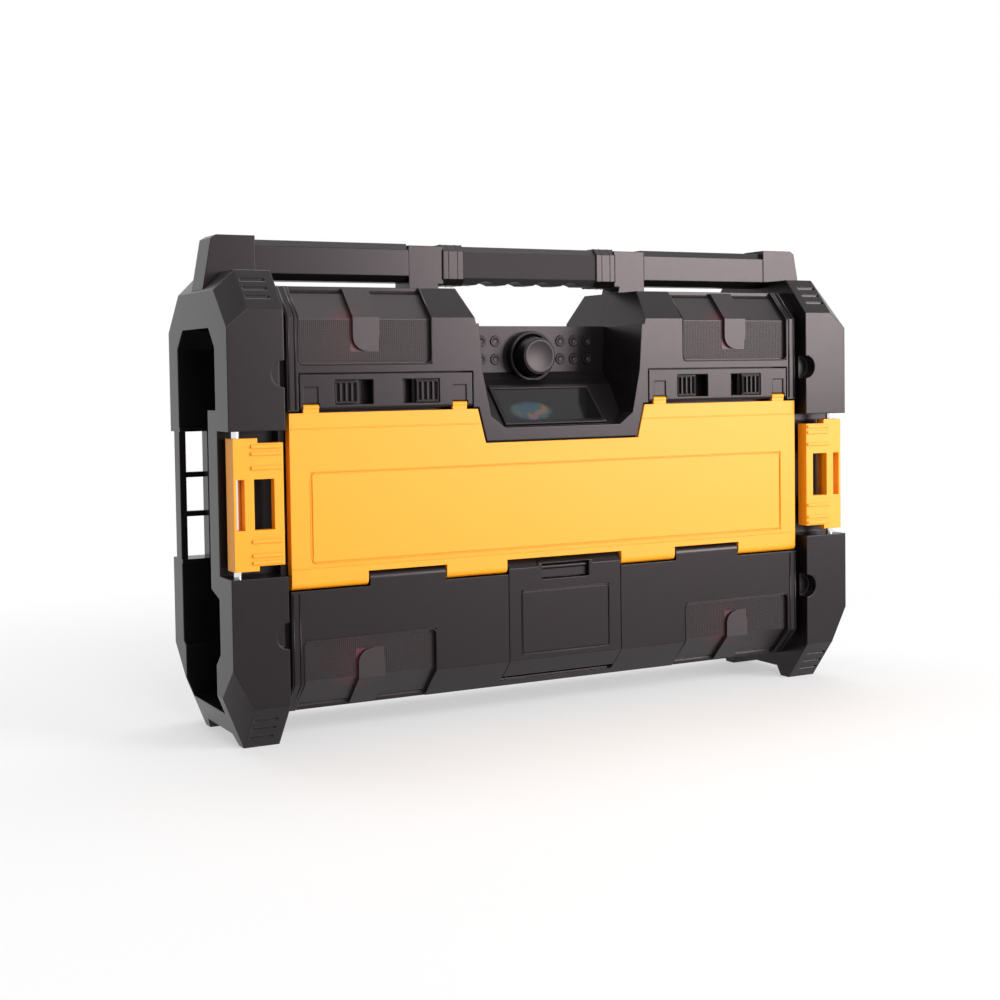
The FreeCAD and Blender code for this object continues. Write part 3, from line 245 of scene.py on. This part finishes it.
def display_glass():
    """A dark screen under clear film, with a painted reflection: a patch of soft colours low on its left.
    """
    material, tree, shader = new_material("display_glass")
    link = tree.links.new
    coords = object_coords(tree)
    swirl = noise(tree, coords, Scale=60.0, Detail=1.0, Distortion=0.6)
    colors = tree.nodes.new("ShaderNodeValToRGB")
    stops = colors.color_ramp.elements
    for stop, (position, color) in zip(stops, REFLECTION_ENDS):
        stop.position = position
        stop.color = color
    for position, color in REFLECTION_COLORS:
        stop = stops.new(position)
        stop.color = color
    link(swirl, colors.inputs["Fac"])
    squash = add(tree, "ShaderNodeMapping", Scale=(1.0, 0.0, PATCH_FLATTEN))
    link(coords, squash.inputs["Vector"])
    far = distance(tree, squash.outputs["Vector"], (PATCH_X, 0.0, PATCH_FLATTEN * PATCH_Z))
    patch = remap(tree, far, PATCH_EDGE)
    # Painted reflection: soft colours mixed into the screen's base colour inside the oval patch
    link(color_mix(tree, patch, SCREEN_BLACK, colors.outputs["Color"]), shader.inputs["Base Color"])
    shader.inputs["Roughness"].default_value = 0.08
    shader.inputs["Specular IOR Level"].default_value = 0.35
    return material


shell_black = plastic("shell_black", BLACK, BLACK_EDGE, 0.29)
frame_black = plastic("frame_black", (0.0055, 0.0048, 0.005), (0.04, 0.036, 0.038), 0.28, grain=0.5,
                      scale=1000.0, round_edge=1.3)
trim_black = plastic("trim_black", (0.005, 0.0042, 0.0045), (0.035, 0.03, 0.03), 0.36, grain=0.2,
                     round_edge=0.5)
grip_rubber = plastic("grip_rubber", (0.007, 0.006, 0.0065), (0.03, 0.027, 0.028), 0.6, grain=0.6,
                      scale=2200.0, round_edge=1.5, sheen=0.15)
inner_black = plastic("inner_black", (0.008, 0.0075, 0.008), (0.03, 0.03, 0.03), 0.55, round_edge=0.8)
button_black = plastic("button_black", (0.006, 0.005, 0.0055), (0.04, 0.036, 0.038), 0.42, grain=0.2,
                       round_edge=0.5)
shell_yellow = plastic("shell_yellow", YELLOW, YELLOW_EDGE, 0.42, grain=0.22, round_edge=0.8,
                       mottle=0.02, tint=PLAIN_SHINE, gloss=0.4)
grille_black = plastic("grille_black", (0.007, 0.006, 0.006), (0.04, 0.034, 0.034), 0.42, grain=0.15,
                       round_edge=0.4)
board_green = plastic("board_green", (0.02, 0.11, 0.05), (0.1, 0.2, 0.1), 0.45, grain=0.3)
mark_grey = plastic("mark_grey", (0.06, 0.06, 0.062), (0.09, 0.09, 0.09), 0.5, grain=0.1,
                    round_edge=0.1)
chrome = metal("chrome", (0.78, 0.78, 0.8), 0.12)
backing = speaker_backing()
glass = display_glass()

BY_SLOT = {
    "yellow_shell": shell_yellow,
    "black_shell": shell_black,
    "dark_trim": trim_black,
    "inner_black": inner_black,
    "soft_black": button_black,
    "grille": backing,
    "speaker": backing,
    "display": glass,
    "board": board_green,
    "steel": chrome,
}
BY_NODE = {
    "side_frame_left": frame_black,
    "side_frame_right": frame_black,
    "handle_grip": grip_rubber,
}


def dress(node_name, material):
    target = frame["nodes"][node_name]
    if not target.material_slots:
        target.data.materials.append(material)
    for slot in target.material_slots:
        slot.material = material


for entry in frame["record"]["subparts"]:
    node_name = entry["node"]
    dress(node_name, BY_NODE.get(node_name, BY_SLOT[entry["material_slot"]]))


# Mesh helpers
def piece(name, mesh, material, body):
    """A new piece of the object, which moves with its body."""
    item = bpy.data.objects.new(name, mesh)
    bpy.context.scene.collection.objects.link(item)
    item.data.materials.append(material)
    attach(item, body)
    return item


def mesh_from(bm, name):
    mesh = bpy.data.meshes.new(name)
    bmesh.ops.recalc_face_normals(bm, faces=bm.faces)
    bm.to_mesh(mesh)
    bm.free()
    return mesh


def smooth(item):
    for face in item.data.polygons:
        face.use_smooth = True
    return item


def block(bm, low, high, bevel=0.0, segments=2):
    """A box between two corners, with rounded edges."""
    size = Vector(high) - Vector(low)
    middle = (Vector(high) + Vector(low)) / 2
    made = bmesh.ops.create_cube(bm, size=1.0)
    bmesh.ops.scale(bm, vec=size, verts=made["verts"])
    bmesh.ops.translate(bm, vec=middle, verts=made["verts"])
    if bevel:
        edges = list({edge for vert in made["verts"] for edge in vert.link_edges})
        bmesh.ops.bevel(bm, geom=edges, offset=bevel, segments=segments, affect="EDGES",
                        profile=0.5)


def bridge(bm, first, second):
    """A band of faces between two rings of as many corners."""
    for index in range(len(first)):
        other = (index + 1) % len(first)
        bm.faces.new((first[index], first[other], second[other], second[index]))


def ring(bm, centre, radius, thick, steps=64, sides=10):
    """A torus about the Y axis."""
    rows = []
    for index in range(steps):
        turn = 2 * math.pi * index / steps
        row = []
        for side in range(sides):
            small = 2 * math.pi * side / sides
            reach = radius + thick * math.cos(small)
            spot = (reach * math.cos(turn), thick * math.sin(small), reach * math.sin(turn))
            row.append(bm.verts.new(Vector(centre) + Vector(spot)))
        rows.append(row)
    for index in range(steps):
        here, there = rows[index], rows[(index + 1) % steps]
        for side in range(sides):
            other = (side + 1) % sides
            bm.faces.new((here[side], there[side], there[other], here[other]))


def tube(bm, points, radius, closed=False, sides=8):
    """A round bar along a path, for rims, lips and raised lines."""
    spots = [Vector(point) for point in points]
    count = len(spots)
    rows = []
    for index, spot in enumerate(spots):
        before = spots[index - 1] if closed or index else spot
        after = spots[(index + 1) % count] if closed or index < count - 1 else spot
        along = (after - before).normalized()
        across = along.cross(Vector((0, 1, 0)))
        if across.length < 0.2:
            across = along.cross(Vector((0, 0, 1)))
        across.normalize()
        lift = along.cross(across)
        rows.append([
            bm.verts.new(spot + (across * math.cos(2 * math.pi * side / sides)
                                 + lift * math.sin(2 * math.pi * side / sides)) * radius)
            for side in range(sides)
        ])
    for index in range(count if closed else count - 1):
        bridge(bm, rows[index], rows[(index + 1) % count])
    if not closed:
        bm.faces.new(rows[0])
        bm.faces.new(list(reversed(rows[-1])))


def rounded(x_span, z_span, y, radius, corners=(True, True, True, True), steps=6):
    """A rectangle in an upright plane, rounded at the corners asked for."""
    points = []
    places = [(x_span[1], z_span[1], 0), (x_span[0], z_span[1], 90),
              (x_span[0], z_span[0], 180), (x_span[1], z_span[0], 270)]
    for (x, z, start), soft in zip(places, corners):
        if not soft:
            points.append((x, y, z))
            continue
        centre_x = x - radius if start in (0, 270) else x + radius
        centre_z = z - radius if start in (0, 90) else z + radius
        for step in range(steps + 1):
            turn = math.radians(start + 90 * step / steps)
            points.append((centre_x + radius * math.cos(turn), y,
                           centre_z + radius * math.sin(turn)))
    return points


# Perforated faces of the speaker grilles, left out where the raised tab stands
PITCH = 1.55 * MM
HOLE = 0.5 * MM
HOLE_CORNERS = 12
HOLE_QUARTER = HOLE_CORNERS // 4
SHEET_THICK = 0.3 * MM
GRILLE_Y = FACE + 3 * MM - 0.12 * MM
GRILLE_X = (114.2 * MM, 218.2 * MM)
TAB_X = (155.3 * MM, 176.7 * MM)
SHEETS = (("upper", (277 * MM, 308.2 * MM), 284.5 * MM), ("lower", (46.6 * MM, 75.6 * MM), 67.5 * MM))


def under_tab(level, tab_z, x, z):
    past_end = z > tab_z if level == "upper" else z < tab_z
    return TAB_X[0] - PITCH < x < TAB_X[1] + PITCH and past_end


def perforated(level, z_span, tab_z, side_name, side):
    """A thin sheet with rows of small holes."""
    name = f"grille_sheet_{level}_{side_name}"
    bm = bmesh.new()
    grid = {}

    def corner(i, j):
        if (i, j) not in grid:
            x = (GRILLE_X[0] + i * PITCH) * side
            grid[(i, j)] = bm.verts.new((x, GRILLE_Y, z_span[0] + j * PITCH))
        return grid[(i, j)]

    for i in range(int((GRILLE_X[1] - GRILLE_X[0]) / PITCH)):
        for j in range(int((z_span[1] - z_span[0]) / PITCH)):
            x = GRILLE_X[0] + (i + 0.5) * PITCH
            z = z_span[0] + (j + 0.5) * PITCH
            if under_tab(level, tab_z, x, z):
                continue
            rim = []
            for step in range(HOLE_CORNERS):
                turn = 2 * math.pi * (step + 0.5) / HOLE_CORNERS
                rim.append(bm.verts.new((
                    (x + HOLE * math.cos(turn)) * side, GRILLE_Y, z + HOLE * math.sin(turn))))
            outer = [corner(i + 1, j + 1), corner(i, j + 1), corner(i, j), corner(i + 1, j)]
            for index in range(4):
                start = index * HOLE_QUARTER
                arc = rim[start:start + HOLE_QUARTER]
                after = rim[(start + HOLE_QUARTER) % HOLE_CORNERS]
                bm.faces.new([outer[index]] + list(reversed(arc)))
                bm.faces.new([outer[index], outer[(index + 1) % 4], after, arc[-1]])
    item = piece(name, mesh_from(bm, name), grille_black, "root")
    thick = item.modifiers.new("thickness", "SOLIDIFY")
    thick.thickness = SHEET_THICK
    thick.offset = 0


for side_name, side in SIDES:
    for level, z_span, tab_z in SHEETS:
        perforated(level, z_span, tab_z, side_name, side)

# Fine lines along the storage door
DOOR_HALF = 226.4 * MM
DOOR_NOTCH_HALF = 73.6 * MM
LINE_RISE = 0.45 * MM
LINE_HEIGHT = 1.1 * MM
LINE_BEVEL = 0.3 * MM


def door_line(name, x_span, z):
    bm = bmesh.new()
    block(bm, (x_span[0], FACE - LINE_RISE, z - LINE_HEIGHT / 2),
          (x_span[1], FACE + LINE_RISE, z + LINE_HEIGHT / 2), bevel=LINE_BEVEL)
    piece(name, mesh_from(bm, name), shell_yellow, "storage_door")


door_line("door_line_low", (-DOOR_HALF, DOOR_HALF), 128.8 * MM)
for side_name, side in SIDES:
    ends = sorted((side * DOOR_NOTCH_HALF, side * DOOR_HALF))
    door_line(f"door_line_top_{side_name}", ends, 229.6 * MM)

# Volume knob: a turned edge on its face, and a ring on the panel around its skirt
KNOB = Vector((0, FRONT + 45 * MM, 281 * MM))


def knob_ring(name, depth, radius, thick, material, body):
    bm = bmesh.new()
    ring(bm, KNOB + Vector((0, depth, 0)), radius, thick)
    piece(name, mesh_from(bm, name), material, body)


knob_ring("knob_face_ring", 1.2 * MM, 14.0 * MM, 0.55 * MM, trim_black, "volume_knob")
knob_ring("knob_bezel_ring", 12.8 * MM, 19.3 * MM, 0.9 * MM, shell_black, "root")

# Plain marks on the buttons: each has a number of sides, a turn and a height for its width
BUTTON_Y = FRONT + 64.55 * MM
MARK_REACH = 1.5 * MM
MARK_LEVELS = (-0.12 * MM, 0.2 * MM)
MARKS = (
    (4, math.pi / 4, 1.0),
    (4, math.pi / 4, 0.35),
    (3, 0, 1.0),
    (20, 0, 1.0),
    (3, math.pi / 2, 1.0),
    (3, math.pi, 1.0),
)


def mark(bm, centre, sides, turn, stretch):
    """A thin raised sign, of a kind found on any player."""
    rings = []
    for level in MARK_LEVELS:
        rings.append([
            bm.verts.new((
                centre[0] + MARK_REACH * math.cos(turn + 2 * math.pi * index / sides),
                centre[1] + level,
                centre[2] + MARK_REACH * stretch * math.sin(turn + 2 * math.pi * index / sides)))
            for index in range(sides)
        ])
    bm.faces.new(rings[0])
    bm.faces.new(list(reversed(rings[1])))
    bridge(bm, rings[0], rings[1])


buttons = [f"{level}_{side_name}_{number}"
           for level in ("upper", "lower") for side_name, side in SIDES for number in (1, 2, 3)]
for index, button in enumerate(buttons):
    low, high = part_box(f"button_{button}")
    middle = (low + high) / 2
    bm = bmesh.new()
    mark(bm, (middle.x, BUTTON_Y, middle.z), *MARKS[index % len(MARKS)])
    piece(f"mark_{button}", mesh_from(bm, "mark"), mark_grey, f"button_{button}")

# Display bezel, along the sloping face of the recess
SLOPE_LOW = Vector((0, FRONT + 19 * MM, 225.8 * MM))
SLOPE_TOP = Vector((0, FRONT + 50 * MM, 257.5 * MM))
SLOPE_RUN = SLOPE_TOP - SLOPE_LOW
TILT = math.atan2(SLOPE_RUN.z, SLOPE_RUN.y)
LENS_HALF = 43 * MM
BEZEL = 3.4 * MM


def on_slope(bm, x_span, share_span, rise, bevel):
    """A rounded bar lying on the sloping display face, between two shares of its length."""
    start = len(bm.verts)
    length = SLOPE_RUN.length
    block(bm, (x_span[0], share_span[0] * length, 0), (x_span[1], share_span[1] * length, rise),
          bevel=bevel)
    bm.verts.ensure_lookup_table()
    place = Matrix.Translation(SLOPE_LOW) @ Matrix.Rotation(TILT, 4, "X")
    for vert in list(bm.verts)[start:]:
        vert.co = place @ vert.co


def display_bezel():
    bm = bmesh.new()
    across = (-LENS_HALF - BEZEL, LENS_HALF + BEZEL)
    on_slope(bm, across, (0.885, 0.985), 2.2 * MM, 0.8 * MM)
    on_slope(bm, across, (0.03, 0.115), 1.8 * MM, 0.7 * MM)
    for _, side in SIDES:
        ends = sorted((side * LENS_HALF, side * (LENS_HALF + BEZEL)))
        on_slope(bm, ends, (0.06, 0.95), 2.0 * MM, 0.7 * MM)
    piece("display_bezel", mesh_from(bm, "display_bezel"), shell_black, "root")


display_bezel()

# Raised ridges on the fascia: two beside each pair of grilles, and a rim around each grille
SHOULDER = FACE + 21.4 * MM
RIDGE_X = (221.6 * MM, 226.6 * MM)
RIDGE_RADIUS = 0.75 * MM
RIM_X = (113.4 * MM, 219 * MM)
RIM_RADIUS = 0.55 * MM
RIM_CORNER = 4 * MM
RIM_CORNER_STEPS = 6
RIM_END_GAP = 0.6 * MM
# Each rim's closed end, the crease where its face starts to slope, and the end of the slope
RIM_HEIGHTS = ((275.5 * MM, 310 * MM, 333 * MM), (76.5 * MM, 45 * MM, 22 * MM))


def grille_rim(bm, side, closed_z, crease_z, slope_z):
    """A U shape that runs over the crease onto the slope at both ends."""
    inner_x, outer_x = side * RIM_X[0], side * RIM_X[1]
    away = 1 if crease_z > closed_z else -1
    turn_x = side * RIM_CORNER
    turn_z = away * RIM_CORNER
    end_z = slope_z - away * RIM_END_GAP
    path = [(inner_x, SHOULDER, end_z), (inner_x, FACE, crease_z)]
    for step in range(RIM_CORNER_STEPS + 1):
        turn = math.pi / 2 * step / RIM_CORNER_STEPS
        path.append((inner_x + turn_x * (1 - math.cos(turn)), FACE,
                     closed_z + turn_z * (1 - math.sin(turn))))
    for step in range(RIM_CORNER_STEPS + 1):
        turn = math.pi / 2 * step / RIM_CORNER_STEPS
        path.append((outer_x - turn_x * (1 - math.sin(turn)), FACE,
                     closed_z + turn_z * (1 - math.cos(turn))))
    path += [(outer_x, FACE, crease_z), (outer_x, SHOULDER, end_z)]
    tube(bm, path, RIM_RADIUS)


for side_name, side in SIDES:
    bm = bmesh.new()
    for x in RIDGE_X:
        tube(bm, [(side * x, SHOULDER, 332.6 * MM), (side * x, FACE, 309.9 * MM),
                  (side * x, FACE, 243.4 * MM)], RIDGE_RADIUS)
        tube(bm, [(side * x, FACE, 111 * MM), (side * x, FACE, 45.2 * MM),
                  (side * x, SHOULDER, 22.6 * MM)], RIDGE_RADIUS)
    for heights in RIM_HEIGHTS:
        grille_rim(bm, side, *heights)
    smooth(piece(f"fascia_ridges_{side_name}", mesh_from(bm, "fascia_ridges"), shell_black,
                 "root"))

# Rims of the latch sliders, each a little inside its pad
for place in ("inner", "outer"):
    for side_name, side in SIDES:
        low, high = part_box(f"latch_slider_{place}_{side_name}")
        pad_x = (low.x + 2.6 * MM, high.x - 2.6 * MM)
        pad_z = (low.z + 0.9 * MM, high.z - 3.9 * MM)
        bm = bmesh.new()
        tube(bm, rounded(pad_x, pad_z, low.y + 0.5 * MM, 2.2 * MM), 0.6 * MM, closed=True)
        smooth(piece(f"slider_rim_{place}_{side_name}", mesh_from(bm, "slider_rim"), trim_black,
                     f"slider_{place}_{side_name}"))

# Rounded frame lines of the storage door's panel, and of the battery door's
PANEL_LINE_Y = FACE + 0.1 * MM


def panel_line(name, outline, radius, material, body):
    bm = bmesh.new()
    tube(bm, outline, radius, closed=True)
    smooth(piece(name, mesh_from(bm, name), material, body))


panel_line("door_panel_line",
           rounded((-212 * MM, 212 * MM), (131.5 * MM, 198 * MM), PANEL_LINE_Y, 7 * MM),
           0.45 * MM, shell_yellow, "storage_door")
panel_line("battery_panel_line",
           rounded((-40 * MM, 40 * MM), (49 * MM, 99 * MM), PANEL_LINE_Y, 4 * MM,
                   (True, True, False, False)),
           0.5 * MM, shell_black, "battery_door")

# Seams around the handle's collars
SEAM_PLACES = (61.6 * MM, 66.6 * MM, 74.4 * MM, 79.2 * MM)
SEAM_CUT = 5 * MM
SEAM_INSET = 0.1 * MM
SEAM_RADIUS = 0.4 * MM


def collar_seams():
    """Rings in the shape of the collar, an oblong with its corners cut off."""
    low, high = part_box("handle_collars")
    middle = (low + high) / 2
    half_y = (high.y - low.y) / 2 - SEAM_INSET
    half_z = (high.z - low.z) / 2 - SEAM_INSET
    cut_y, cut_z = half_y - SEAM_CUT, half_z - SEAM_CUT
    outline = ((cut_y, half_z), (half_y, cut_z), (half_y, -cut_z), (cut_y, -half_z),
               (-cut_y, -half_z), (-half_y, -cut_z), (-half_y, cut_z), (-cut_y, half_z))
    bm = bmesh.new()
    for x in SEAM_PLACES:
        for _, side in SIDES:
            loop = [(side * x, middle.y + y, middle.z + z) for y, z in outline]
            tube(bm, loop, SEAM_RADIUS, closed=True)
    piece("collar_seams", mesh_from(bm, "collar_seams"), trim_black, "root")


collar_seams()

# Floor and surroundings
FLOOR_REACH = 6.0
FLOOR_FADE = (0.30, 0.85)


def backdrop_rays(tree):
    """One for camera, glossy and transmission rays, which see the plain background."""
    path = tree.nodes.new("ShaderNodeLightPath")
    seen = combine(tree, "MAXIMUM", path.outputs["Is Camera Ray"], path.outputs["Is Glossy Ray"])
    return combine(tree, "MAXIMUM", seen, path.outputs["Is Transmission Ray"])


def blend_shaders(tree, factor, first, second, target):
    """A mix of two shaders, sent to an output node."""
    node = tree.nodes.new("ShaderNodeMixShader")
    tree.links.new(factor, node.inputs["Fac"])
    tree.links.new(first, node.inputs[1])
    tree.links.new(second, node.inputs[2])
    tree.links.new(node.outputs["Shader"], tree.nodes[target].inputs["Surface"])


def floor_material():
    """White paper: shaded near the radio, plain white further out for the camera."""
    material, tree, shader = new_material("floor_white")
    shader.inputs["Base Color"].default_value = (0.93, 0.93, 0.935, 1)
    shader.inputs["Roughness"].default_value = 0.75
    glow = add(tree, "ShaderNodeEmission", Color=(1, 1, 1, 1), Strength=1.0)
    far = tree.nodes.new("ShaderNodeVectorMath")
    far.operation = "LENGTH"
    tree.links.new(object_coords(tree), far.inputs[0])
    fade = remap(tree, far.outputs["Value"], FLOOR_FADE, (0.5, 1.0))
    amount = combine(tree, "MULTIPLY", fade, backdrop_rays(tree))
    blend_shaders(tree, amount, shader.outputs["BSDF"], glow.outputs["Emission"], "Material Output")
    return material


def surroundings():
    """Dim, slightly cool light from all round, with a white background."""
    world = bpy.data.worlds.new("studio")
    bpy.context.scene.world = world
    world.use_nodes = True
    tree = world.node_tree
    lit = tree.nodes["Background"]
    lit.inputs["Color"].default_value = (0.97, 0.98, 1.0, 1)
    lit.inputs["Strength"].default_value = 0.3
    white = add(tree, "ShaderNodeBackground", Color=(1, 1, 1, 1), Strength=1.0)
    blend_shaders(tree, backdrop_rays(tree), lit.outputs["Background"],
                  white.outputs["Background"], "World Output")


bm = bmesh.new()
bmesh.ops.create_grid(bm, x_segments=1, y_segments=1, size=FLOOR_REACH)
floor = bpy.data.objects.new("floor", mesh_from(bm, "floor"))
bpy.context.scene.collection.objects.link(floor)
floor.data.materials.append(floor_material())
surroundings()


# Lights
def softbox(name, place, target, size, power, color):
    lamp = bpy.data.lights.new(name, "AREA")
    lamp.shape = "RECTANGLE"
    lamp.size, lamp.size_y = size
    lamp.energy = power
    lamp.color = color
    item = bpy.data.objects.new(name, lamp)
    bpy.context.scene.collection.objects.link(item)
    item.location = place
    item.rotation_euler = (Vector(target) - Vector(place)).to_track_quat("-Z", "Y").to_euler()


MIDDLE = (0, 0, 0.18)
softbox("key_right", (1.48, -1.93, 0.72), (0.05, -0.07, 0.3), (1.25, 1.05), 64, (1.0, 0.97, 0.96))
softbox("top", (0.1, 0.8, 1.95), MIDDLE, (2.4, 0.8), 20, (1.0, 1.0, 1.0))
softbox("front_fill", (-0.4, -2.7, 2.0), MIDDLE, (1.2, 1.0), 30, (1.0, 0.98, 0.96))

# Camera at the photograph's place
CAMERA_PLACE = Vector((-612.8, -1110.2, 267.7)) * MM
YAW = math.radians(27.94)
TIP = math.radians(-2.43)
ROLL = math.radians(-0.81)


def photo_camera():
    data = bpy.data.cameras.new("camera")
    data.sensor_width = 36.0
    data.lens = 55.8
    data.shift_x = 0.0003
    data.shift_y = -0.0612
    camera = bpy.data.objects.new("camera", data)
    bpy.context.scene.collection.objects.link(camera)
    forward = Vector((math.sin(YAW) * math.cos(TIP), math.cos(YAW) * math.cos(TIP), math.sin(TIP)))
    level_right = Vector((math.cos(YAW), -math.sin(YAW), 0))
    level_up = level_right.cross(forward)
    right = level_right * math.cos(ROLL) + level_up * math.sin(ROLL)
    up = level_up * math.cos(ROLL) - level_right * math.sin(ROLL)
    turn = Matrix((right, up, -forward)).transposed().to_4x4()
    camera.matrix_world = Matrix.Translation(CAMERA_PLACE) @ turn
    bpy.context.scene.camera = camera


photo_camera()
bpy.context.scene.view_settings.view_transform = "Standard"
